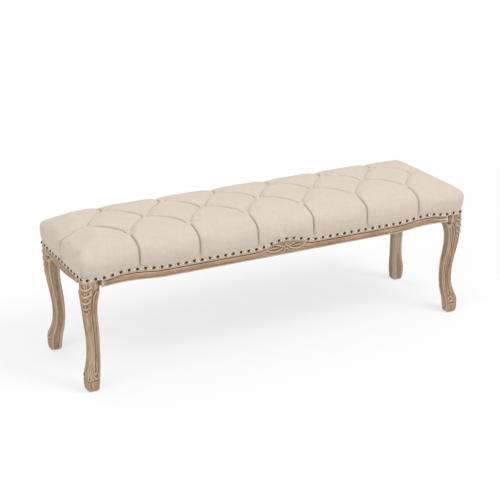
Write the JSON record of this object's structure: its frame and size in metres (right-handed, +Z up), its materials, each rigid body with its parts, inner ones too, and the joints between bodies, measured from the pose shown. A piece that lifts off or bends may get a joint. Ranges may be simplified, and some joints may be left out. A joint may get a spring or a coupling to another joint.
{
  "type": "upholstered bench",
  "caption": "Long low bench: diamond-tufted seat cushion with a nailed braid edge, on a moulded wooden apron with carved, curved legs.",
  "frame": {"origin": "On the floor, under the middle of the bench", "axes": "+Z up, +X along the bench to its right seen from the front, -Y out of the front"},
  "size_m": [1.362, 0.384, 0.488],
  "materials": {
    "washed_oak": "washed oak, low sheen",
    "pine": "sawn pine, bare",
    "plywood": "birch plywood, bare",
    "foam": "open-cell foam",
    "linen": "plain-woven linen, oatmeal",
    "twine": "waxed upholstery twine",
    "gimp": "woven braid",
    "bronze_nails": "antique bronze plate",
    "zinc_steel": "zinc plate",
    "black_cambric": "non-woven dust cloth",
    "nylon": "moulded nylon"
  },
  "bodies": {
    "root": {"leg_front_left": "washed_oak", "leg_front_right": "washed_oak", "leg_rear_left": "washed_oak", "leg_rear_right": "washed_oak", "rail_front": "washed_oak", "rail_rear": "washed_oak", "rail_left": "washed_oak", "rail_right": "washed_oak", "corner_block_front_left": "pine", "corner_block_front_right": "pine", "corner_block_rear_left": "pine", "corner_block_rear_right": "pine", "cross_brace_left": "pine", "cross_brace_right": "pine", "seat_deck": "plywood", "foam_pad": "foam", "tufted_cover": "linen", "tuft_buttons_front": "linen", "tuft_buttons_middle": "linen", "tuft_buttons_rear": "linen", "tuft_twines": "twine", "gimp_trim": "gimp", "nails_front": "bronze_nails", "nails_rear": "bronze_nails", "nails_left": "bronze_nails", "nails_right": "bronze_nails", "leg_bolts": "zinc_steel", "leg_bolt_washers": "zinc_steel", "leg_bolt_nuts": "zinc_steel", "block_screws": "zinc_steel", "deck_screws": "zinc_steel", "twine_washers": "zinc_steel", "dust_cover": "black_cambric", "foot_glides": "nylon"}
  },
  "joints": []
}
